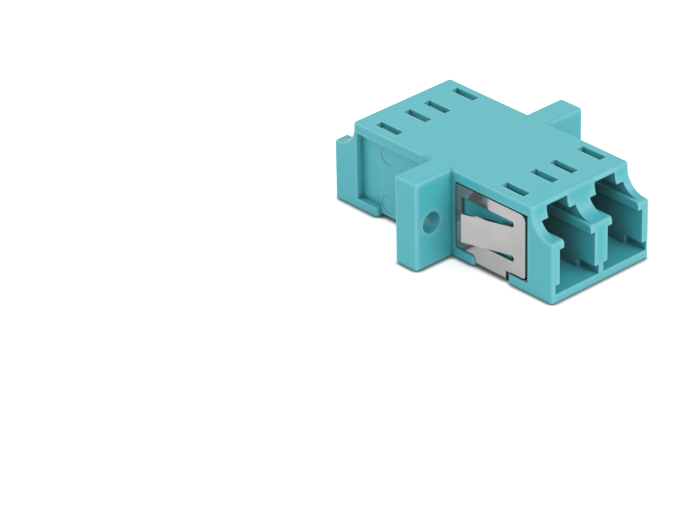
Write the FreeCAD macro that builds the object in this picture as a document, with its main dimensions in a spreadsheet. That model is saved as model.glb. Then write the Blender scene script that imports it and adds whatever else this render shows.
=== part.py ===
import FreeCAD, Part
import math
import os
from types import SimpleNamespace

import Sketcher

# Duplex fibre coupler for two pairs of small-form plugs, in millimetres.
# X runs along the fibres, Y across the two ports, Z is up and z = 0 is the underside.
# x = 0 is the middle of the panel flange, where the ferrules meet.

SIZES = {
    # plug ports
    "port_width": 4.6,
    "port_height": 4.55,
    "port_floor": 1.05,
    "port_divider": 1.65,
    "side_wall": 0.975,
    "web_margin": 0.3,
    "entry_step": 0.52,
    "entry_height": 0.95,
    "entry_depth": 2.3,
    # latch channel above each port: rails, catch hooks and roof windows
    "rail_reach": 0.55,
    "rail_height": 0.8,
    "latch_step": 0.45,
    "latch_height": 1.2,
    "hook_reach": 0.84,
    "hook_taper": 0.035,
    "hook_height": 1.2,
    "roof_thickness": 0.5,
    "window_inset": 0.35,
    "window_width": 0.84,
    "window_length": 2.96,
    "window_margin": 2.04,
    # outer case
    "half_length": 14.6,
    "mouth_radius": 2.2,
    "mouth_flat": 0.46,
    "case_edge": 0.36,
    # panel flange and its two screw holes
    "flange_thickness": 2.92,
    "flange_edge": 0.42,
    "screw_spacing": 18.0,
    "screw_diameter": 2.2,
    "ear_reach": 2.0,
    # side recess that takes the spring clip
    "recess_margin": 0.38,
    "brow_margin": 0.52,
    "recess_low": 1.15,
    "recess_drop": 1.1,
    "groove_length": 2.62,
    "groove_step": 0.2,
    "groove_edge": 0.12,
    "foot_length": 2.51,
    "foot_radius": 0.45,
    "foot_corner": 0.3,
    # marks that the mould leaves on the rear half
    "ejector_diameter": 1.9,
    "ejector_setback": 1.18,
    "ejector_low": 1.82,
    "ejector_drop": 1.2,
    "mark_depth": 0.04,
    "shutoff_length": 2.66,
    "shutoff_height": 3.4,
    "shutoff_depth": 0.1,
    "shutoff_radius": 0.5,
    # locating spigot of the rear half inside the flange
    "spigot_step": 1.2,
    "spigot_margin": 1.1,
    "spigot_radius": 0.8,
    "spigot_clearance": 0.05,
    # split alignment sleeves and the tubes that hold them
    "sleeve_bore": 1.25,
    "sleeve_wall": 0.185,
    "sleeve_length": 6.8,
    "sleeve_slit": 0.4,
    "sleeve_chamfer": 0.06,
    "sleeve_clearance": 0.05,
    "tube_wall": 0.59,
    "lip_thickness": 0.5,
    "lip_clearance": 0.075,
    "lip_lead": 0.3,
    # spring clip folded from one sheet
    "sheet_thickness": 0.3,
    "sheet_clearance": 0.02,
    "sheet_sink": 0.18,
    "strap_clearance": 0.04,
    "wing_gap_root": 0.04,
    "wing_gap_mouth": 0.49,
    "wing_gap_low": 0.07,
    "wing_gap_high": 0.3,
    "wing_corner": 0.7,
    "wing_low_corner": 0.4,
    "wing_root_corner": 0.18,
    "neck_gap_root": 0.07,
    "neck_gap_mouth": 0.38,
    "neck_corner": 0.45,
    "fold_radius": 0.25,
    "slit_width": 0.62,
    "slit_end": 0.3,
    "band_root": 0.67,
    "band_low": 1.91,
    "band_high": 1.8,
    "band_mouth": 1.78,
    "panel_gap": 2.05,
    "tongue_rise": 1.53,
    "tongue_lip": 0.6,
    "lip_drop": 0.05,
    "tongue_bend": 0.4,
}

# Share of a slit's width that rounds its closed corners
SLIT_ROUNDING = 0.45

CLOSE = 1e-4


class Size:
    """A length: its value now, and the expression that ties it to the sheet."""

    def __init__(self, value, text):
        self.value = value
        self.text = text

    def __add__(self, other):
        other = as_size(other)
        return Size(self.value + other.value, f"({self.text} + {other.text})")

    def __sub__(self, other):
        other = as_size(other)
        return Size(self.value - other.value, f"({self.text} - {other.text})")

    def __mul__(self, factor):
        return Size(self.value * factor, f"({self.text} * {factor})")

    def __truediv__(self, factor):
        return Size(self.value / factor, f"({self.text} / {factor})")

    def __neg__(self):
        return Size(-self.value, f"(0 - {self.text})")


def as_size(number):
    """Give a plain number as a Size."""
    if isinstance(number, Size):
        return number
    return Size(float(number), f"{number}")


ZERO = Size(0.0, "0")


def make_sheet(doc):
    """Put every driving size in a sheet, one named cell each."""
    sheet = doc.addObject("Spreadsheet::Sheet", "Sizes")
    for row, (name, value) in enumerate(SIZES.items(), start=1):
        sheet.set(f"A{row}", name)
        sheet.set(f"B{row}", str(value))
        sheet.setAlias(f"B{row}", name)
    doc.recompute()
    return sheet


def read_sizes(sheet):
    """Give the sheet's cells, and what follows from them, as Sizes."""
    s = SimpleNamespace(**{name: Size(float(sheet.get(name)), f"Sizes.{name}") for name in SIZES})
    s.port_pitch = s.port_width + s.port_divider
    s.port_offset = s.port_pitch / 2
    s.port_top = s.port_floor + s.port_height
    s.axis_height = s.port_floor + s.port_height / 2
    s.entry_width = s.port_width + s.entry_step * 2
    s.rail_gap = s.port_width - s.rail_reach * 2
    s.rail_top = s.port_top + s.rail_height
    s.latch_width = s.rail_gap + s.latch_step * 2
    s.hook_low = s.rail_top + s.latch_height
    s.hook_gap_low = s.latch_width - s.hook_reach * 2
    s.hook_gap_high = s.hook_gap_low - s.hook_taper * 2
    s.roof_low = s.hook_low + s.hook_height

    s.body_height = s.roof_low + s.roof_thickness
    s.body_side = s.port_pitch / 2 + s.port_width / 2 + s.side_wall
    s.roof_length = s.half_length - s.mouth_flat - s.mouth_radius
    s.window_offset = s.latch_width / 2 - s.window_inset
    s.window_end = s.roof_length - s.window_margin
    s.window_start = s.window_end - s.window_length

    s.flange_face = s.flange_thickness / 2
    s.flange_side = s.screw_spacing / 2 + s.ear_reach
    s.web_face = s.flange_face + s.web_margin
    s.spigot_side = s.body_side - s.spigot_step
    s.spigot_high = s.body_height - s.spigot_margin

    s.recess_start = s.flange_face + s.recess_margin
    s.recess_end = s.roof_length - s.brow_margin
    s.recess_high = s.body_height - s.recess_drop
    s.recess_depth = s.sheet_clearance + s.sheet_thickness + s.sheet_sink
    s.recess_floor = s.body_side - s.recess_depth
    s.notch_start = s.recess_start + s.foot_length
    s.groove_start = s.recess_end - s.groove_length
    s.channel_depth = s.strap_clearance + s.sheet_thickness + s.sheet_clearance
    s.ejector_place = s.groove_start - s.ejector_setback

    s.sleeve_outer = s.sleeve_bore + s.sleeve_wall * 2
    s.sleeve_seat = s.sleeve_length / 2 + s.sleeve_clearance
    s.bore = s.sleeve_outer + s.sleeve_clearance * 2
    s.lip_bore = s.sleeve_bore + s.lip_clearance * 2
    s.tube_end = s.sleeve_seat + s.lip_thickness
    s.tube_diameter = s.bore + s.tube_wall * 2

    s.sheet_inside = s.recess_floor + s.sheet_clearance
    s.sheet_outside = s.sheet_inside + s.sheet_thickness
    s.sheet_bottom = s.strap_clearance
    s.sheet_top = s.sheet_bottom + s.sheet_thickness
    s.wing_start = s.recess_start + s.wing_gap_root
    s.wing_end = s.recess_end - s.wing_gap_mouth
    s.wing_low = s.recess_low + s.wing_gap_low
    s.wing_high = s.recess_high - s.wing_gap_high
    s.neck_start = s.notch_start + s.neck_gap_root
    s.neck_end = s.groove_start - s.neck_gap_mouth
    s.slit_start = s.wing_start + s.band_root
    s.tongue_low = s.wing_low + s.band_low
    s.tongue_high = s.wing_high - s.band_high
    s.tongue_root = s.wing_end - s.band_mouth
    s.tongue_tip = s.flange_face + s.panel_gap
    s.tongue_fold = s.tongue_tip + s.tongue_lip
    return s


# Sketch helpers

def origin_plane(body, role):
    """Find one of the body's own origin planes."""
    return next(item for item in body.Origin.OriginFeatures if item.Role == role)


def new_body(doc, label):
    """Start an empty body that is written to a file of this name."""
    body = doc.addObject("PartDesign::Body", label)
    body.Label = label
    return body


def new_sketch(body, name, role, offset=ZERO):
    """Start a sketch on one of the body's origin planes, moved along the plane's normal."""
    sketch = body.newObject("Sketcher::SketchObject", name)
    sketch.AttachmentSupport = [(origin_plane(body, role), "")]
    sketch.MapMode = "FlatFace"
    sketch.AttachmentOffset = FreeCAD.Placement(FreeCAD.Vector(0, 0, offset.value), FreeCAD.Rotation())
    sketch.setExpression("AttachmentOffset.Base.z", offset.text)
    return sketch


def bind(sketch, kind, *references):
    """Add a sized constraint whose last item is its Size."""
    size = references[-1]
    index = sketch.addConstraint(Sketcher.Constraint(kind, *references[:-1], size.value))
    sketch.setExpression(f"Constraints[{index}]", size.text)


def pin_point(sketch, geometry, end, x, y):
    """Place one point of the sketch by its two distances from the origin."""
    bind(sketch, "DistanceX", -1, 1, geometry, end, x)
    bind(sketch, "DistanceY", -1, 1, geometry, end, y)


def vector(corner):
    """Give a sketch corner as a vector."""
    return FreeCAD.Vector(corner[0].value, corner[1].value, 0)


def outline(sketch, corners):
    """Draw a closed outline of straight lines through the corners."""
    count = len(corners)
    lines = [
        sketch.addGeometry(Part.LineSegment(vector(corners[i]), vector(corners[(i + 1) % count])), False)
        for i in range(count)
    ]
    for i, line in enumerate(lines):
        sketch.addConstraint(Sketcher.Constraint("Coincident", line, 2, lines[(i + 1) % count], 1))
        pin_point(sketch, line, 1, *corners[i])


def box_outline(sketch, x_low, x_high, y_low, y_high):
    """Draw a closed rectangle."""
    outline(sketch, [(x_low, y_low), (x_high, y_low), (x_high, y_high), (x_low, y_high)])


def bend(before, corner, after, radius):
    """Work out the arc that rounds a corner: its two tangent points and its middle."""
    back = (before - corner).normalize()
    ahead = (after - corner).normalize()
    half = back.getAngle(ahead) / 2
    reach = radius / math.tan(half)
    centre = corner + (back + ahead).normalize() * (radius / math.sin(half))
    middle = centre + (corner - centre).normalize() * radius
    return corner + back * reach, middle, corner + ahead * reach


def rounded_line(sketch, corners, radii, closed):
    """Draw straight runs through the corners, with a tangent arc at each corner that has a radius."""
    count = len(corners)
    points = [vector(corner) for corner in corners]
    starts = list(points)
    ends = list(points)
    arcs = {}
    for i, radius in enumerate(radii):
        if radius is None:
            continue
        before = points[i - 1]
        after = points[(i + 1) % count]
        first, middle, last = bend(before, points[i], after, radius.value)
        ends[i] = first
        starts[i] = last
        arcs[i] = sketch.addGeometry(Part.Arc(first, middle, last), False)
        bind(sketch, "Radius", arcs[i], radius)
    runs = count if closed else count - 1
    lines = [
        sketch.addGeometry(Part.LineSegment(starts[i], ends[(i + 1) % count]), False) for i in range(runs)
    ]
    for i in range(count):
        incoming = lines[i - 1] if closed or i > 0 else None
        outgoing = lines[i] if i < runs else None
        if i in arcs:
            round_corner(sketch, corners[i], incoming, arcs[i], outgoing)
        elif incoming is None:
            pin_point(sketch, outgoing, 1, *corners[i])
        else:
            pin_point(sketch, incoming, 2, *corners[i])
            if outgoing is not None:
                sketch.addConstraint(Sketcher.Constraint("Coincident", incoming, 2, outgoing, 1))


def round_corner(sketch, corner, incoming, arc, outgoing):
    """Tie an arc to its two runs, which meet at the corner's own point."""
    point = sketch.addGeometry(Part.Point(vector(corner)), True)
    pin_point(sketch, point, 1, *corner)
    sketch.addConstraint(Sketcher.Constraint("PointOnObject", point, 1, incoming))
    sketch.addConstraint(Sketcher.Constraint("PointOnObject", point, 1, outgoing))
    arc_start = sketch.getPoint(arc, 1)
    run_end = sketch.getPoint(incoming, 2)
    near, far = (1, 2) if (arc_start - run_end).Length < CLOSE else (2, 1)
    sketch.addConstraint(Sketcher.Constraint("Tangent", incoming, 2, arc, near))
    sketch.addConstraint(Sketcher.Constraint("Tangent", arc, far, outgoing, 1))


def rounded_outline(sketch, corners, radii):
    """Draw a closed outline whose corners are rounded where they have a radius."""
    rounded_line(sketch, corners, radii, True)


def circle(sketch, x, y, diameter):
    """Draw a circle."""
    centre = FreeCAD.Vector(x.value, y.value, 0)
    ring = sketch.addGeometry(Part.Circle(centre, FreeCAD.Vector(0, 0, 1), diameter.value / 2), False)
    pin_point(sketch, ring, 3, x, y)
    bind(sketch, "Diameter", ring, diameter)


# Feature helpers

def extrude(body, kind, name, sketch, length, flip=False, middle=False):
    """Pad or pocket a sketch by a length."""
    feature = body.newObject(f"PartDesign::{kind}", name)
    feature.Profile = (sketch, [""])
    feature.Type = "Length"
    feature.Length = length.value
    feature.setExpression("Length", length.text)
    feature.Reversed = flip
    feature.Midplane = middle
    body.Document.recompute()
    return feature


def mirror(body, name, originals):
    """Repeat features on the other side of the middle plane between the ports."""
    feature = body.newObject("PartDesign::Mirrored", name)
    feature.Originals = originals
    feature.MirrorPlane = (origin_plane(body, "XZ_Plane"), [""])
    body.Tip = feature
    body.Document.recompute()
    return feature


def dress(body, kind, name, size_name, size, chosen):
    """Round or chamfer the edges of the last feature that the test picks."""
    base = body.Tip
    edges = [f"Edge{i}" for i, edge in enumerate(base.Shape.Edges, start=1) if chosen(edge.BoundBox)]
    feature = body.newObject(f"PartDesign::{kind}", name)
    feature.Base = (base, edges)
    setattr(feature, size_name, size.value)
    feature.setExpression(size_name, size.text)
    body.Document.recompute()
    return feature


def round_edges(body, name, radius, chosen):
    """Round the chosen edges."""
    return dress(body, "Fillet", name, "Radius", radius, chosen)


def chamfer_edges(body, name, size, chosen):
    """Chamfer the chosen edges."""
    return dress(body, "Chamfer", name, "Size", size, chosen)


def at(value, *places):
    """Say whether a number is at one of the places."""
    return any(abs(value - as_size(place).value) < CLOSE for place in places)


# Housing halves; side is 1 towards +X and -1 towards -X

def add_case(body, s, side):
    """Block of one half in side view: full height by the flange, then a swept step down to the rails."""
    sketch = new_sketch(body, "CaseSide", "XZ_Plane")
    root = -s.flange_face
    outline(sketch, [
        (root, ZERO),
        (s.half_length * side, ZERO),
        (s.half_length * side, s.rail_top),
        (s.roof_length * side, s.rail_top),
        (s.roof_length * side, s.body_height),
        (root, s.body_height),
    ])
    extrude(body, "Pad", "Case", sketch, s.body_side * 2, middle=True)

    def inner_corner(box):
        return at(box.XMin, s.roof_length * side) and at(box.XMax, s.roof_length * side) \
            and at(box.ZMin, s.rail_top) and at(box.ZMax, s.rail_top)

    round_edges(body, "MouthSweep", s.mouth_radius, inner_corner)

    def outer_edge(box):
        on_root = at(box.XMin, root) and at(box.XMax, root)
        on_side = at(box.YMin, box.YMax) and at(abs(box.YMin), s.body_side)
        brow = at(box.ZMin, s.body_height) and at(box.XMin, s.roof_length * side)
        front = at(box.XMin, s.half_length * side) and at(box.XMax, s.half_length * side)
        return not on_root and (on_side or (brow and at(box.XMax, box.XMin)) or front)

    round_edges(body, "CaseEdges", s.case_edge, outer_edge)


def add_flange(body, s):
    """Panel flange with softly rounded edges all round."""
    sketch = new_sketch(body, "FlangeFace", "YZ_Plane")
    box_outline(sketch, -s.flange_side, s.flange_side, ZERO, s.body_height)
    extrude(body, "Pad", "Flange", sketch, s.flange_thickness, middle=True)
    round_edges(body, "FlangeEdges", s.flange_edge, lambda box: True)


def join_case(body, case):
    """Join the case to its flange, so that the flange's rounding stops at the case."""
    feature = body.newObject("PartDesign::Boolean", "CaseJoin")
    feature.Type = "Fuse"
    feature.setObjects([case])
    body.Tip = feature
    body.Document.recompute()


def add_screw_holes(body, s):
    """Two clear holes through the flange."""
    sketch = new_sketch(body, "ScrewCircles", "YZ_Plane")
    for place in (-s.screw_spacing / 2, s.screw_spacing / 2):
        circle(sketch, place, s.body_height / 2, s.screw_diameter)
    extrude(body, "Pocket", "ScrewHoles", sketch, s.flange_thickness * 2, middle=True)


def port_centres(s):
    """Middles of the two ports across the width."""
    return (-s.port_offset, s.port_offset)


def add_ports(body, s, side):
    """Two square plug channels from the mouth to the web, widened at the floor of the mouth."""
    mouth = s.half_length * side
    sketch = new_sketch(body, "PlugSection", "YZ_Plane", mouth)
    for middle in port_centres(s):
        half = s.port_width / 2
        box_outline(sketch, middle - half, middle + half, s.port_floor, s.port_top)
    extrude(body, "Pocket", "PlugChannels", sketch, s.half_length - s.web_face, flip=side < 0)

    sketch = new_sketch(body, "EntrySection", "YZ_Plane", mouth)
    for middle in port_centres(s):
        half = s.entry_width / 2
        box_outline(sketch, middle - half, middle + half, s.port_floor, s.port_floor + s.entry_height)
    extrude(body, "Pocket", "EntryPockets", sketch, s.entry_depth, flip=side < 0)


def add_latch_channels(body, s, side):
    """Stepped channel above each port: rails below, catch hooks above, open to the port."""
    sketch = new_sketch(body, "LatchSection", "YZ_Plane", s.half_length * side)
    for middle in port_centres(s):
        half_steps = [
            (s.rail_gap / 2, s.port_floor + s.port_height / 2),
            (s.rail_gap / 2, s.rail_top),
            (s.latch_width / 2, s.rail_top),
            (s.latch_width / 2, s.hook_low),
            (s.hook_gap_low / 2, s.hook_low),
            (s.hook_gap_high / 2, s.roof_low),
        ]
        right = [(middle + half, height) for half, height in half_steps]
        left = [(middle - half, height) for half, height in reversed(half_steps)]
        outline(sketch, right + left)
    extrude(body, "Pocket", "LatchChannels", sketch, s.half_length - s.window_start, flip=side < 0)

    sketch = new_sketch(body, "CatchRoom", "XY_Plane", s.roof_low)
    reach = s.window_offset + s.window_width / 2
    start, end = sorted((s.window_start * side, s.window_end * side), key=lambda size: size.value)
    for middle in port_centres(s):
        box_outline(sketch, start, end, middle - reach, middle + reach)
    extrude(body, "Pocket", "CatchRooms", sketch, s.hook_height)

    sketch = new_sketch(body, "WindowSlots", "XY_Plane", s.body_height)
    half = s.window_width / 2
    for middle in port_centres(s):
        for centre in (middle - s.window_offset, middle + s.window_offset):
            box_outline(sketch, start, end, centre - half, centre + half)
    extrude(body, "Pocket", "RoofWindows", sketch, s.roof_thickness)


def add_sleeve_tubes(body, s, side):
    """Tube on the web in each port, bored for its sleeve behind a tapered lip."""
    sketch = new_sketch(body, "TubeCircles", "YZ_Plane", s.web_face * side)
    for middle in port_centres(s):
        circle(sketch, middle, s.axis_height, s.tube_diameter)
    extrude(body, "Pad", "SleeveTubes", sketch, s.tube_end - s.web_face, flip=side < 0)

    inner_end = -s.flange_face if side > 0 else s.flange_face
    seat = s.sleeve_seat * side
    end = s.tube_end * side
    bore_top = s.axis_height + s.bore / 2
    lip_top = s.axis_height + s.lip_bore / 2
    sketch = new_sketch(body, "BoreSection", "XZ_Plane", s.port_offset)
    outline(sketch, [
        (inner_end, s.axis_height),
        (end, s.axis_height),
        (end, lip_top + s.lip_lead),
        (seat, lip_top),
        (seat, bore_top),
        (inner_end, bore_top),
    ])
    axis = sketch.addGeometry(Part.LineSegment(
        FreeCAD.Vector(inner_end.value, s.axis_height.value, 0),
        FreeCAD.Vector(end.value, s.axis_height.value, 0)), True)
    pin_point(sketch, axis, 1, inner_end, s.axis_height)
    pin_point(sketch, axis, 2, end, s.axis_height)
    groove = body.newObject("PartDesign::Groove", "SleeveBore")
    groove.Profile = (sketch, [""])
    groove.ReferenceAxis = (sketch, ["Axis0"])
    groove.Angle = 360.0
    body.Document.recompute()
    mirror(body, "SleeveBores", [groove])


def add_clip_recess(body, s, side):
    """Shallow seat on both flanks and a channel underneath, which the spring clip grips."""
    sketch = new_sketch(body, "RecessOutline", "XZ_Plane", s.body_side)
    corners = [
        (s.recess_start * side, s.recess_low),
        (s.notch_start * side, s.recess_low),
        (s.notch_start * side, ZERO),
        (s.groove_start * side, ZERO),
        (s.groove_start * side, s.recess_low),
        (s.recess_end * side, s.recess_low),
        (s.recess_end * side, s.recess_high),
        (s.recess_start * side, s.recess_high),
    ]
    rounded_outline(sketch, corners, [None, s.foot_radius] + [None] * 6)
    recess = extrude(body, "Pocket", "ClipRecess", sketch, s.recess_depth)

    sketch = new_sketch(body, "GrooveSection", "XY_Plane", s.recess_low)
    near = s.groove_start - s.groove_edge * 2
    bottom = s.recess_floor - s.groove_step
    corners = [
        (near * side, -s.body_side),
        (near * side, -s.recess_floor),
        (s.groove_start * side, -s.recess_floor),
        (s.groove_start * side, -bottom),
        (s.recess_end * side, -bottom),
        (s.recess_end * side, -s.body_side),
    ]
    rounded_outline(sketch, corners, [None, None, s.groove_edge, None, None, None])
    groove = extrude(body, "Pocket", "ClipGroove", sketch, s.recess_high - s.recess_low, flip=True)
    mirror(body, "ClipRecesses", [recess, groove])

    sketch = new_sketch(body, "ChannelOutline", "XY_Plane")
    box_outline(sketch, s.notch_start * side, s.groove_start * side, -s.body_side, s.body_side)
    extrude(body, "Pocket", "ClipChannel", sketch, s.channel_depth, flip=True)

    def fold_edge(box):
        level = at(box.YMin, box.YMax) and at(box.ZMin, box.ZMax)
        return level and at(abs(box.YMin), s.recess_floor) and at(box.ZMin, s.channel_depth)

    round_edges(body, "FoldEdges", s.fold_radius + s.sheet_clearance, fold_edge)

    def foot_edge(box):
        across = at(box.XMin, box.XMax) and at(box.XMin, s.notch_start * side, s.groove_start * side)
        return across and at(box.ZMin, ZERO) and at(box.ZMax, ZERO)

    round_edges(body, "FootCorners", s.foot_corner, foot_edge)


def add_spigot_socket(body, s):
    """Pocket in the back of the flange for the rear half's spigot."""
    sketch = new_sketch(body, "SocketOutline", "YZ_Plane", -s.flange_face)
    spigot_outline(sketch, s, s.spigot_clearance)
    extrude(body, "Pocket", "SpigotSocket", sketch, s.flange_face, flip=True)


def spigot_outline(sketch, s, margin):
    """Rounded rectangle of the locating spigot, grown by a margin."""
    half = s.spigot_side + margin
    low = s.spigot_margin - margin
    high = s.spigot_high + margin
    radius = s.spigot_radius + margin
    rounded_outline(sketch, [(-half, low), (half, low), (half, high), (-half, high)], [radius] * 4)


def add_spigot(body, s):
    """Locating spigot that closes the rear half's ports and enters the flange."""
    sketch = new_sketch(body, "SpigotOutline", "YZ_Plane", -s.flange_face)
    spigot_outline(sketch, s, ZERO)
    extrude(body, "Pad", "Spigot", sketch, s.flange_face - s.spigot_clearance)


def add_mould_marks(body, s):
    """Ejector circles on one flank and a stepped shut-off field on the other."""
    sketch = new_sketch(body, "EjectorCircles", "XZ_Plane", s.recess_floor)
    for height in (s.ejector_low, s.recess_high - s.ejector_drop):
        circle(sketch, -s.ejector_place, height, s.ejector_diameter)
    extrude(body, "Pocket", "EjectorMarks", sketch, s.mark_depth)

    sketch = new_sketch(body, "ShutoffOutline", "XZ_Plane", -s.recess_floor)
    far = s.recess_start + s.shutoff_length
    high = s.recess_low + s.shutoff_height
    corners = [
        (-s.recess_start, s.recess_low),
        (-far, s.recess_low),
        (-far, high),
        (-s.recess_start, high),
    ]
    rounded_outline(sketch, corners, [None, None, s.shutoff_radius, None])
    extrude(body, "Pocket", "ShutoffField", sketch, s.shutoff_depth, flip=True)


def build_front_housing(doc, s):
    """Front half: case, panel flange, two ports and the seat of the spring clip."""
    case = new_body(doc, "front_case")
    add_case(case, s, 1)
    body = new_body(doc, "front_housing")
    add_flange(body, s)
    join_case(body, case)
    add_screw_holes(body, s)
    add_ports(body, s, 1)
    add_latch_channels(body, s, 1)
    add_spigot_socket(body, s)
    add_sleeve_tubes(body, s, 1)
    add_clip_recess(body, s, 1)
    return body


def build_rear_housing(doc, s):
    """Rear half: the same case the other way round, with the spigot in place of a flange."""
    body = new_body(doc, "rear_housing")
    add_case(body, s, -1)
    add_spigot(body, s)
    add_ports(body, s, -1)
    add_latch_channels(body, s, -1)
    add_sleeve_tubes(body, s, -1)
    add_clip_recess(body, s, -1)
    add_mould_marks(body, s)
    return body


# Loose parts

def build_sleeve(doc, s, label, middle):
    """Split alignment sleeve: a thin ceramic tube, slit along its top, with a lead into each end."""
    body = new_body(doc, label)
    sketch = new_sketch(body, "Ring", "YZ_Plane")
    circle(sketch, middle, s.axis_height, s.sleeve_outer)
    circle(sketch, middle, s.axis_height, s.sleeve_bore)
    extrude(body, "Pad", "Tube", sketch, s.sleeve_length, middle=True)

    def bore_rim(box):
        return at(box.XMin, box.XMax) and at(box.ZLength, s.sleeve_bore)

    chamfer_edges(body, "BoreLead", s.sleeve_chamfer, bore_rim)
    sketch = new_sketch(body, "SlitOutline", "YZ_Plane")
    half = s.sleeve_slit / 2
    box_outline(sketch, middle - half, middle + half, s.axis_height, s.axis_height + s.sleeve_outer)
    extrude(body, "Pocket", "Slit", sketch, s.sleeve_length * 2, middle=True)
    return body


def add_clip_strap(body, s):
    """Folded strap: two upright wings joined under the case."""
    sketch = new_sketch(body, "StrapSection", "YZ_Plane", s.wing_start)
    outer_radius = s.fold_radius + s.sheet_thickness
    corners = [
        (-s.sheet_outside, s.sheet_bottom),
        (s.sheet_outside, s.sheet_bottom),
        (s.sheet_outside, s.wing_high),
        (s.sheet_inside, s.wing_high),
        (s.sheet_inside, s.sheet_top),
        (-s.sheet_inside, s.sheet_top),
        (-s.sheet_inside, s.wing_high),
        (-s.sheet_outside, s.wing_high),
    ]
    rounded_outline(sketch, corners, [
        outer_radius, outer_radius, None, None, s.fold_radius, s.fold_radius, None, None])
    extrude(body, "Pad", "Strap", sketch, s.wing_end - s.wing_start)


def trim_clip(body, s):
    """Cut the strap to a narrow neck below the wings, then open the slits around the tongues."""
    through = s.body_side * 3
    sketch = new_sketch(body, "NeckCuts", "XZ_Plane")
    margin = s.sheet_thickness
    box_outline(sketch, s.wing_start - margin, s.neck_start, -margin, s.wing_low)
    box_outline(sketch, s.neck_end, s.wing_end + margin, -margin, s.wing_low)
    extrude(body, "Pocket", "Neck", sketch, through, middle=True)

    def wing_corners(*places):
        def chosen(box):
            across = at(box.XMin, box.XMax) and at(box.ZMin, box.ZMax)
            return across and any(at(box.XMin, x) and at(box.ZMin, z) for x, z in places)
        return chosen

    round_edges(body, "WingTop", s.wing_corner, wing_corners((s.wing_end, s.wing_high)))
    round_edges(body, "WingBottom", s.wing_low_corner, wing_corners((s.wing_end, s.wing_low)))
    round_edges(body, "NeckCorner", s.neck_corner, wing_corners((s.neck_start, s.wing_low)))
    root_corners = wing_corners((s.wing_start, s.wing_low), (s.wing_start, s.wing_high))
    round_edges(body, "WingRoot", s.wing_root_corner, root_corners)

    sketch = new_sketch(body, "TongueSlits", "XZ_Plane")
    low = s.tongue_low - s.slit_width
    high = s.tongue_high + s.slit_width
    end = s.tongue_root + s.slit_end
    corners = [
        (s.slit_start, low),
        (end, low),
        (end, s.tongue_low),
        (s.tongue_root, s.tongue_low),
        (s.tongue_root, s.tongue_high),
        (end, s.tongue_high),
        (end, high),
        (s.slit_start, high),
    ]
    tight = s.slit_width * SLIT_ROUNDING
    rounded_outline(sketch, corners, [None, tight, tight, None, None, tight, tight, None])
    extrude(body, "Pocket", "Slits", sketch, through, middle=True)


def add_tongues(body, s):
    """Sprung tongue on each wing: rises from its root to a fold, then a short lip."""
    middle = s.sheet_inside + s.sheet_thickness / 2
    section = new_sketch(body, "TongueSection", "YZ_Plane", s.tongue_root + s.slit_end)
    box_outline(section, -s.sheet_outside, -s.sheet_inside, s.tongue_low, s.tongue_high)

    path = new_sketch(body, "TonguePath", "XY_Plane", (s.tongue_low + s.tongue_high) / 2)
    corners = [
        (s.tongue_root + s.slit_end, -middle),
        (s.tongue_root, -middle),
        (s.tongue_fold, -middle - s.tongue_rise),
        (s.tongue_tip, -middle - s.tongue_rise + s.lip_drop),
    ]
    rounded_line(path, corners, [None, s.tongue_bend, s.tongue_bend, None], False)
    body.Document.recompute()
    tongue = body.newObject("PartDesign::AdditivePipe", "Tongue")
    tongue.Profile = (section, [""])
    tongue.Spine = (path, [])
    body.Document.recompute()
    mirror(body, "Tongues", [tongue])


def build_clip(doc, s):
    """Panel clip: one folded strip of spring steel with a sprung tongue on each side."""
    body = new_body(doc, "panel_clip")
    add_clip_strap(body, s)
    trim_clip(body, s)
    add_tongues(body, s)
    return body


# Checks and files

ADDING = ("PartDesign::Pad", "PartDesign::AdditivePipe", "PartDesign::Boolean")
CUTTING = ("PartDesign::Pocket", "PartDesign::Groove", "PartDesign::Chamfer")


def check_document(doc):
    """Stop on a failed object, or on a feature that changed nothing."""
    for item in doc.Objects:
        if "Invalid" in item.State or "Error" in item.State:
            raise RuntimeError(f"{item.Label} failed")
        base = getattr(item, "BaseFeature", None)
        if base is None:
            continue
        change = item.Shape.Volume - base.Shape.Volume
        if item.TypeId in ADDING and change <= 0:
            raise RuntimeError(f"{item.Label} adds nothing")
        if item.TypeId in CUTTING and change >= 0:
            raise RuntimeError(f"{item.Label} cuts nothing")


def write_parts(bodies):
    """Write each body to the file that its label names."""
    os.makedirs("parts", exist_ok=True)
    for body in bodies:
        shape = body.Shape
        if shape.isNull() or not shape.isValid() or len(shape.Solids) != 1:
            raise RuntimeError(f"{body.Label} is not one valid solid")
        shape.exportStep(os.path.join("parts", f"{body.Label}.step"))
        print(f"{body.Label}: {shape.Volume:.2f} mm3")


def main():
    """Build the coupler's pieces and write them."""
    doc = FreeCAD.newDocument("coupler")
    s = read_sizes(make_sheet(doc))
    bodies = [
        build_front_housing(doc, s),
        build_rear_housing(doc, s),
        build_sleeve(doc, s, "left_sleeve", -s.port_offset),
        build_sleeve(doc, s, "right_sleeve", s.port_offset),
        build_clip(doc, s),
    ]
    doc.recompute()
    check_document(doc)
    write_parts(bodies)


main()
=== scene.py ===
import math

import bpy
from mathutils import Matrix, Vector


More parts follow.
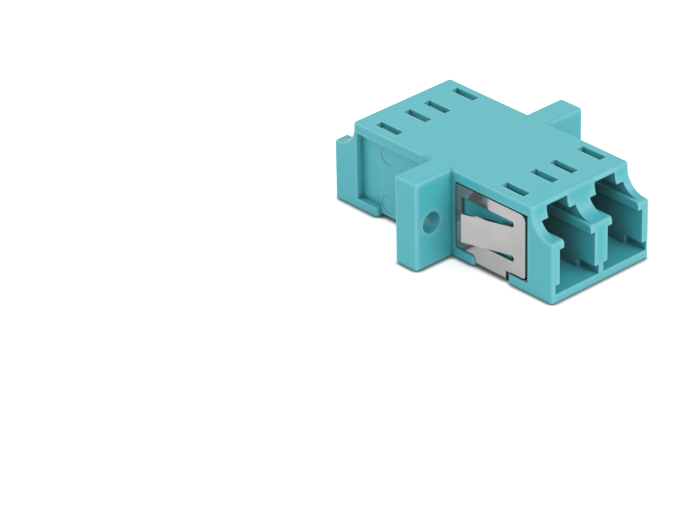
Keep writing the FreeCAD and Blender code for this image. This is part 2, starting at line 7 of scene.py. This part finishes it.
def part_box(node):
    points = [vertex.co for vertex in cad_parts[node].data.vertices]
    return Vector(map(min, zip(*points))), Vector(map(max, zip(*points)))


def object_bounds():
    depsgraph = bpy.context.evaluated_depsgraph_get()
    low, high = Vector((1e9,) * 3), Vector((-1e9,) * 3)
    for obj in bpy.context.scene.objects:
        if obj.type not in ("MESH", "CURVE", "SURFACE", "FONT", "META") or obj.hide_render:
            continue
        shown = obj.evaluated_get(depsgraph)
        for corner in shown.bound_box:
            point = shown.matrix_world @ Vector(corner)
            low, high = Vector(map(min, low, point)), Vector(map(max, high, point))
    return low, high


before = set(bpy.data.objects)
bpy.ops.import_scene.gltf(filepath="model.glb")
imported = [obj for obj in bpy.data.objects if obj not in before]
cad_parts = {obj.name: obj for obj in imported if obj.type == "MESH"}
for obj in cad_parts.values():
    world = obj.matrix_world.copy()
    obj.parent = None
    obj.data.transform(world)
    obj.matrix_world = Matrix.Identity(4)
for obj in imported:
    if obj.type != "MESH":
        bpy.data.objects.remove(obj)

CAD_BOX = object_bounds()
MM = 0.001
WHITE = (1, 1, 1, 1)

# Camera, as fitted to the corners of the object in the photograph
CAMERA_PLACE = Vector((0.25622, -0.25155, 0.20001))
CAMERA_AZIMUTH = math.radians(47.649)
CAMERA_ELEVATION = math.radians(29.590)
CAMERA_ROLL = math.radians(-1.218)
CAMERA_LENS = 223.512
SENSOR_WIDTH = 36.0
NEAREST_SEEN = 0.01
FARTHEST_SEEN = 10.0

# Light: each level is the share of a plain white exposure that the source adds
WORLD_LEVEL = 0.56
LAMP_DISTANCE = 0.6

# Each lamp's azimuth and elevation in degrees, its size in metres and its level
LAMPS = {
    "key": (106, 34, 0.35, 0.29),
    "rim": (-54, 34, 0.3, 0.24),
    "fill": (60, 25, 0.4, 0.14),
    "back": (-132, 30, 0.35, 0.10),
    "top": (70, 68, 0.35, 0.09),
}

# Floor: its colours, linear, how far it is lifted to white, and the painted contact shadow under
# the object
FLOOR_SIZE = 4.0
FLOOR_COLOUR = (0.90, 0.90, 0.90, 1.0)
FLOOR_PAINTED_SHADOW = (0.46, 0.44, 0.435, 1.0)
FLOOR_LIFT = 0.54
CONTACT_REACH = 0.65 * MM
CONTACT_OPEN = (0.45, 0.9)

# Colours, linear
AQUA = (0.074, 0.480, 0.535, 1.0)
AQUA_DEEP = (0.068, 0.460, 0.515, 1.0)
# Painted shade in the ports, roof windows and screw holes
AQUA_PAINTED_PORT_SHADE = (0.070, 0.050, 0.046, 1.0)
AQUA_CORNER = (0.030, 0.140, 0.160, 1.0)
AQUA_GAP = (0.018, 0.036, 0.038, 1.0)
# Painted highlight along the outer edges and on the rims of end faces
AQUA_PAINTED_HIGHLIGHT = (0.270, 0.625, 0.680, 1.0)
STEEL = (0.385, 0.376, 0.374, 1.0)
STEEL_DARK = (0.345, 0.336, 0.334, 1.0)
# Painted reflection of the flange on the clip
STEEL_PAINTED_REFLECTION = (0.425, 0.358, 0.350, 1.0)
CERAMIC = (0.86, 0.84, 0.79, 1.0)

# Gloss: refraction, the span of roughness, and how metallic the clip's painted reflection tint is
PLASTIC_IOR = 1.46
CERAMIC_IOR = 1.9
PLASTIC_ROUGHNESS = (0.34, 0.44)
STEEL_ROUGHNESS = (0.06, 0.10)
CERAMIC_ROUGHNESS = (0.14, 0.24)
TINT_METALLIC = 0.75

# Noise patterns: the size of one lump, the detail, and the scale along X, Y and Z
FLOW = (6 * MM, 3.0, (1, 1, 1))
GRAIN = (0.09 * MM, 2.0, (1, 1, 1))
ROLLED = (0.2 * MM, 4.0, (0.04, 1, 1))
CLOUD = (2.5 * MM, 2.0, (1, 1, 1))
RINGS = (0.05 * MM, 2.0, (1, 0.05, 0.05))

# Part of a noise pattern's values that carries its whole contrast
NOISE_SPAN = (0.3, 0.7)
FLOW_SPAN = (0.35, 0.65)

# Bumps: depth and strength
GRAIN_BUMP = (0.006 * MM, 0.5)
ROLLED_BUMP = (0.004 * MM, 0.4)
RINGS_BUMP = (0.002 * MM, 0.3)

# Samples of the nodes that look around a point
OPENNESS_SAMPLES = 16
ROUNDING_SAMPLES = 6
EDGE_SAMPLES = 8

# Places of the colour sockets among those of a Mix node
MIX_FIRST = 6
MIX_SECOND = 7
MIX_RESULT = 2

# Plastic: how far around a point each painted shade or highlight, and the edge rounding, looks
CAVITY_REACH = 5.0 * MM
PORT_REACH = 9.0 * MM
CLIP_REACH = 0.55 * MM
MOULDED_EDGE = 0.1 * MM
PALE_EDGE = 0.8 * MM
SOFT_EDGE = 0.6 * MM

# Plastic: openness at which a painted shade or highlight starts and ends, from 0 in a crevice to 1
# in the open
EDGE_LIT = (0.6, 0.95)
EDGE_FREE = (0.8, 0.98)
RIM_NEAR = (0.4, 1.0)
PORT_DEEP = (0.12, 0.42)
CORNER_DEEP = (0.45, 0.95)
GAP_COVERED = (0.15, 0.55)

# Plastic: the most that each painted shade or highlight mixes in
EDGE_STRENGTH = 0.6
RIM_STRENGTH = 0.45
PORT_STRENGTH = 0.72
CORNER_STRENGTH = 0.6

# Plastic: the widest part of a rounded normal, at an edge and on a flat
EDGE_TURN = (0.72, 0.995)

# Plastic: how far a normal points along Z on a level face, and along X on an end face
LEVEL_FACE = (0.5, 1.0)
END_FACE = (0.5, 0.9)

# Plastic: the share of a painted shade that is left on level faces, on the ears and in the roof
# windows
PORT_ON_LEVEL = 0.3
CORNER_ON_LEVEL = 0.5
PORT_ON_EAR = 0.7
PORT_IN_WINDOW = 0.45

# Plastic: distance from the joint of the halves along X, from the middle along Y, and heights
JOINT_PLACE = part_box("front_housing")[0].x
JOINT_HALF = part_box("rear_housing")[1].y
JOINT_SPAN = (PALE_EDGE, PALE_EDGE * 1.5)
CASE_SPAN = (JOINT_HALF, JOINT_HALF + PALE_EDGE)
WINDOW_SPAN = (CAD_BOX[1][2] - 1.3 * MM, CAD_BOX[1][2] - 0.5 * MM)
FOOT_SPAN = (CAD_BOX[0][2] + 0.3 * MM, CAD_BOX[0][2] + 0.7 * MM)

# Clip: where its painted reflection tint ends, the slope and place of its lower end, and the
# sheet's place
TINT_END = 6.8 * MM
TINT_SLOPE = 0.61
TINT_FOOT = -1.4 * MM
TINT_FADE = 1.6 * MM
SHEET_OUTSIDE = 6.22 * MM
TONGUE_FOLD = 4.1 * MM
FOLD_FADE = 0.1 * MM


def add_camera():
    """Camera at the photograph's place and angle."""
    data = bpy.data.cameras.new("camera")
    data.lens = CAMERA_LENS
    data.sensor_width = SENSOR_WIDTH
    data.clip_start = NEAREST_SEEN
    data.clip_end = FARTHEST_SEEN
    camera = bpy.data.objects.new("camera", data)
    turn = Matrix.Rotation(CAMERA_AZIMUTH, 4, "Z")
    tilt = Matrix.Rotation(math.pi / 2 - CAMERA_ELEVATION, 4, "X")
    roll = Matrix.Rotation(CAMERA_ROLL, 4, "Z")
    camera.matrix_world = Matrix.Translation(CAMERA_PLACE) @ turn @ tilt @ roll
    bpy.context.scene.collection.objects.link(camera)
    bpy.context.scene.camera = camera


def add_softbox(name, azimuth, elevation, size, level):
    """Square soft lamp that looks at the origin from an azimuth and elevation in degrees."""
    data = bpy.data.lights.new(name, "AREA")
    data.shape = "SQUARE"
    data.size = size
    data.energy = level * math.pi ** 2 * LAMP_DISTANCE ** 2
    lamp = bpy.data.objects.new(name, data)
    turn = Matrix.Rotation(math.radians(azimuth), 4, "Z")
    tilt = Matrix.Rotation(math.pi / 2 - math.radians(elevation), 4, "X")
    lamp.matrix_world = turn @ tilt @ Matrix.Translation((0, 0, LAMP_DISTANCE))
    bpy.context.scene.collection.objects.link(lamp)


class Tree:
    """Node tree of a material or of the world, with short names for the steps that repeat."""

    def __init__(self, owner):
        owner.use_nodes = True
        self.tree = owner.node_tree
        self.tree.nodes.clear()

    def add(self, kind, inputs=None, **settings):
        """New node with its settings; each input gets a fixed value or is linked to an output."""
        node = self.tree.nodes.new(kind)
        for name, value in settings.items():
            setattr(node, name, value)
        for name, value in (inputs or {}).items():
            if isinstance(value, bpy.types.NodeSocket):
                self.tree.links.new(value, node.inputs[name])
            else:
                node.inputs[name].default_value = value
        return node

    def coordinates(self, name):
        """The surface's place in the object's own metres, or its normal."""
        return self.add("ShaderNodeTexCoord").outputs[name]

    def axes(self, vector):
        """X, Y and Z of a place or normal."""
        node = self.add("ShaderNodeSeparateXYZ", {"Vector": vector})
        return [node.outputs[axis] for axis in "XYZ"]

    def calculate(self, operation, first, *others):
        """One operation on outputs or numbers, repeated over those that follow the second."""
        if not others:
            return self.add("ShaderNodeMath", {0: first}, operation=operation).outputs["Value"]
        for second in others:
            node = self.add("ShaderNodeMath", {0: first, 1: second}, operation=operation)
            first = node.outputs["Value"]
        return first

    def ramp(self, value, span, result=(0, 1)):
        """Carry a value from one span to another, and hold it beyond the ends."""
        inputs = {"Value": value, "From Min": span[0], "From Max": span[1]}
        inputs.update({"To Min": result[0], "To Max": result[1]})
        return self.add("ShaderNodeMapRange", inputs).outputs["Result"]

    def mix(self, factor, first, second):
        """Mix two colours by a factor."""
        inputs = {"Factor": factor, MIX_FIRST: first, MIX_SECOND: second}
        return self.add("ShaderNodeMix", inputs, data_type="RGBA").outputs[MIX_RESULT]

    def noise(self, place, lump, detail, scale):
        """Noise pattern from 0 to 1, with lumps of one size."""
        mapping = self.add("ShaderNodeMapping", {"Vector": place, "Scale": scale})
        inputs = {"Vector": mapping.outputs["Vector"], "Scale": 1 / lump, "Detail": detail}
        return self.add("ShaderNodeTexNoise", inputs).outputs["Fac"]

    def openness(self, reach, own=True, inside=False):
        """0 deep in a crevice and 1 in the open; looked at from inside, 0 at an outer edge."""
        settings = {"samples": OPENNESS_SAMPLES, "only_local": own, "inside": inside}
        return self.add("ShaderNodeAmbientOcclusion", {"Distance": reach}, **settings).outputs["AO"]

    def rounded(self, radius, samples):
        """The surface's normal, as if its sharp edges were rounded."""
        return self.add("ShaderNodeBevel", {"Radius": radius}, samples=samples).outputs["Normal"]

    def bump(self, height, depth, strength, normal=None):
        """Raise the surface by a height pattern of a given depth in metres."""
        inputs = {"Height": height, "Distance": depth, "Strength": strength}
        if normal:
            inputs["Normal"] = normal
        return self.add("ShaderNodeBump", inputs).outputs["Normal"]

    def cover(self, inputs):
        """Put a Principled shader on the material's surface."""
        shader = self.add("ShaderNodeBsdfPrincipled", inputs)
        self.add("ShaderNodeOutputMaterial", {"Surface": shader.outputs["BSDF"]})


def add_world():
    """Even white surroundings, full white where the camera sees them."""
    world = bpy.data.worlds.new("studio")
    tree = Tree(world)
    light = tree.add("ShaderNodeBackground", {"Color": WHITE, "Strength": WORLD_LEVEL})
    seen = tree.add("ShaderNodeBackground", {"Color": WHITE, "Strength": 1.0})
    by_camera = tree.add("ShaderNodeLightPath").outputs["Is Camera Ray"]
    shades = {"Fac": by_camera, 1: light.outputs["Background"], 2: seen.outputs["Background"]}
    mix = tree.add("ShaderNodeMixShader", shades)
    tree.add("ShaderNodeOutputWorld", {"Surface": mix.outputs["Shader"]})
    bpy.context.scene.world = world


def floor_material():
    """Pale floor that looks white to the camera and in reflections, keeps the shadow, and has a
    painted contact shadow under the object.
    """
    material = bpy.data.materials.new("floor")
    tree = Tree(material)
    open_ground = tree.ramp(tree.openness(CONTACT_REACH, own=False), CONTACT_OPEN)
    # Painted contact shadow: darker floor, not lifted to white, where the object stands close
    shade = tree.mix(open_ground, FLOOR_PAINTED_SHADOW, FLOOR_COLOUR)
    matt = tree.add("ShaderNodeBsdfDiffuse", {"Color": shade})
    path = tree.add("ShaderNodeLightPath")
    seen = tree.calculate("MAXIMUM", path.outputs["Is Camera Ray"], path.outputs["Is Glossy Ray"])
    strength = tree.calculate("MULTIPLY", seen, tree.ramp(open_ground, (0, 1), (0, FLOOR_LIFT)))
    lift = tree.add("ShaderNodeEmission", {"Color": WHITE, "Strength": strength})
    both = tree.add("ShaderNodeAddShader", {0: matt.outputs["BSDF"], 1: lift.outputs["Emission"]})
    tree.add("ShaderNodeOutputMaterial", {"Surface": both.outputs["Shader"]})
    return material


def add_floor():
    """Plain floor under the object."""
    mesh = bpy.data.meshes.new("floor")
    half = FLOOR_SIZE / 2
    corners = [(-half, -half, 0), (half, -half, 0), (half, half, 0), (-half, half, 0)]
    mesh.from_pydata(corners, [], [(0, 1, 2, 3)])
    floor = bpy.data.objects.new("floor", mesh)
    floor.location.z = CAD_BOX[0][2]
    mesh.materials.append(floor_material())
    bpy.context.scene.collection.objects.link(floor)


def facing(tree, normal):
    """How far a normal points along X, Y and Z, from 0 to 1."""
    return [tree.calculate("ABSOLUTE", part) for part in tree.axes(normal)]


def away_from_joint(tree, x, y):
    """0 along the joint of the two halves, which is flush, and 1 elsewhere."""
    along = tree.calculate("ABSOLUTE", tree.calculate("SUBTRACT", x, JOINT_PLACE))
    across = tree.calculate("ABSOLUTE", y)
    return tree.calculate("MAXIMUM", tree.ramp(along, JOINT_SPAN), tree.ramp(across, CASE_SPAN))


def inside_case(tree, y, z):
    """1 in the case below its thin roof, and less within the roof and on the flange's ears."""
    in_case = tree.ramp(tree.calculate("ABSOLUTE", y), CASE_SPAN, (1, PORT_ON_EAR))
    return tree.calculate("MULTIPLY", in_case, tree.ramp(z, WINDOW_SPAN, (1, PORT_IN_WINDOW)))


def painted_edge_highlights(tree, alone, clear):
    """Painted highlight: a paler line along the outer edges, where nothing stands close and no
    joint runs.
    """
    widest = tree.calculate("MAXIMUM", *facing(tree, tree.rounded(SOFT_EDGE, EDGE_SAMPLES)))
    band = tree.ramp(widest, EDGE_TURN, (1, 0))
    lit = tree.ramp(tree.openness(CAVITY_REACH), EDGE_LIT)
    paler = tree.calculate("MULTIPLY", band, lit, tree.ramp(alone, EDGE_FREE), clear)
    return tree.ramp(paler, (0, 1), (0, EDGE_STRENGTH))


def painted_port_shade(tree, level, y, z):
    """Painted shade that darkens the ports, windows and screw holes with their depth, less on level
    faces.
    """
    deep = tree.ramp(tree.openness(PORT_REACH), PORT_DEEP, (PORT_STRENGTH, 0))
    upright = tree.ramp(level, LEVEL_FACE, (1, PORT_ON_LEVEL))
    return tree.calculate("MULTIPLY", deep, upright, inside_case(tree, y, z))


def inner_corners(tree, level, alone):
    """Shade in the plastic's own narrow corners, less on level faces."""
    corner = tree.ramp(alone, CORNER_DEEP, (CORNER_STRENGTH, 0))
    return tree.calculate("MULTIPLY", corner, tree.ramp(level, LEVEL_FACE, (1, CORNER_ON_LEVEL)))


def painted_rim_highlights(tree, end, clear):
    """Painted highlight: a paler rim of the faces that look along X, apart from the joint."""
    rim = tree.ramp(tree.openness(PALE_EDGE, inside=True), RIM_NEAR, (RIM_STRENGTH, 0))
    return tree.calculate("MULTIPLY", rim, clear, tree.ramp(end, END_FACE))


def clip_shade(tree, alone, z):
    """Shade that only a neighbour, the clip, casts on the plastic; the floor's is left out."""
    beside = tree.openness(CLIP_REACH, own=False)
    shaded = tree.ramp(tree.calculate("SUBTRACT", alone, beside), GAP_COVERED)
    return tree.calculate("MULTIPLY", shaded, tree.ramp(z, FOOT_SPAN))


def plastic_material():
    """Satin aqua moulded plastic: faint flow marks, fine grain, uneven gloss, painted highlights on
    its edges and painted shade in its hollows.
    """
    material = bpy.data.materials.new("aqua_plastic")
    tree = Tree(material)
    place = tree.coordinates("Object")
    x, y, z = tree.axes(place)
    end, _, level = facing(tree, tree.coordinates("Normal"))
    alone = tree.openness(CLIP_REACH)
    clear = away_from_joint(tree, x, y)
    flow = tree.noise(place, *FLOW)
    colour = tree.mix(tree.ramp(flow, FLOW_SPAN), AQUA_DEEP, AQUA)
    colour = tree.mix(painted_edge_highlights(tree, alone, clear), colour, AQUA_PAINTED_HIGHLIGHT)
    colour = tree.mix(painted_port_shade(tree, level, y, z), colour, AQUA_PAINTED_PORT_SHADE)
    colour = tree.mix(inner_corners(tree, level, alone), colour, AQUA_CORNER)
    colour = tree.mix(painted_rim_highlights(tree, end, clear), colour, AQUA_PAINTED_HIGHLIGHT)
    colour = tree.mix(clip_shade(tree, alone, z), colour, AQUA_GAP)
    edges = tree.rounded(tree.ramp(clear, (0, 1), (0, MOULDED_EDGE)), ROUNDING_SAMPLES)
    tree.cover({
        "Base Color": colour,
        "IOR": PLASTIC_IOR,
        "Roughness": tree.ramp(flow, NOISE_SPAN, PLASTIC_ROUGHNESS),
        "Normal": tree.bump(tree.noise(place, *GRAIN), *GRAIN_BUMP, edges),
    })
    return material


def painted_reflection_tint(tree, place):
    """Painted reflection: a faint brown tint, standing in for the flange's reflection, on the near
    side's wing by the flange and on its tongue's lip.
    """
    x, y, z = tree.axes(place)
    out = tree.calculate("ABSOLUTE", y)
    on_wing = tree.ramp(out, (SHEET_OUTSIDE, SHEET_OUTSIDE + FOLD_FADE), (1, 0))
    leaning = tree.calculate("SUBTRACT", z, tree.calculate("MULTIPLY", x, TINT_SLOPE))
    above = tree.ramp(leaning, (TINT_FOOT, TINT_FOOT + TINT_FADE))
    by_root = tree.ramp(x, (TINT_END - TINT_FADE, TINT_END), (1, 0))
    wing = tree.calculate("MULTIPLY", on_wing, by_root, above)
    on_lip = tree.ramp(x, (TONGUE_FOLD - FOLD_FADE, TONGUE_FOLD), (1, 0))
    lip = tree.calculate("MULTIPLY", tree.calculate("SUBTRACT", 1.0, on_wing), on_lip)
    near_side = tree.ramp(y, (-MM, MM), (1, 0))
    return tree.calculate("MULTIPLY", tree.calculate("MAXIMUM", wing, lip), near_side)


def steel_material():
    """Rolled spring steel with a faint grain along the strip."""
    material = bpy.data.materials.new("spring_steel")
    tree = Tree(material)
    place = tree.coordinates("Object")
    rolled = tree.noise(place, *ROLLED)
    cloud = tree.noise(place, *CLOUD)
    # Painted reflection: brown tint, with less metal, where the flange shows in the steel
    tint = painted_reflection_tint(tree, place)
    colour = tree.mix(tree.ramp(cloud, NOISE_SPAN), STEEL_DARK, STEEL)
    tree.cover({
        "Base Color": tree.mix(tint, colour, STEEL_PAINTED_REFLECTION),
        "Metallic": tree.ramp(tint, (0, 1), (1, TINT_METALLIC)),
        "Roughness": tree.ramp(rolled, NOISE_SPAN, STEEL_ROUGHNESS),
        "Normal": tree.bump(rolled, *ROLLED_BUMP),
    })
    return material


def ceramic_material():
    """Ground white ceramic with fine rings left by grinding."""
    material = bpy.data.materials.new("white_ceramic")
    tree = Tree(material)
    rings = tree.noise(tree.coordinates("Object"), *RINGS)
    tree.cover({
        "Base Color": CERAMIC,
        "IOR": CERAMIC_IOR,
        "Roughness": tree.ramp(rings, NOISE_SPAN, CERAMIC_ROUGHNESS),
        "Normal": tree.bump(rings, *RINGS_BUMP),
    })
    return material


def dress(material, *names):
    """Give nodes their material."""
    for name in names:
        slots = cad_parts[name].data.materials
        slots.clear()
        slots.append(material)


bpy.context.scene.view_settings.view_transform = "Standard"
add_camera()
add_world()
for lamp_name, lamp_values in LAMPS.items():
    add_softbox(lamp_name, *lamp_values)
add_floor()
dress(plastic_material(), "front_housing", "rear_housing")
dress(ceramic_material(), "left_sleeve", "right_sleeve")
dress(steel_material(), "panel_clip")
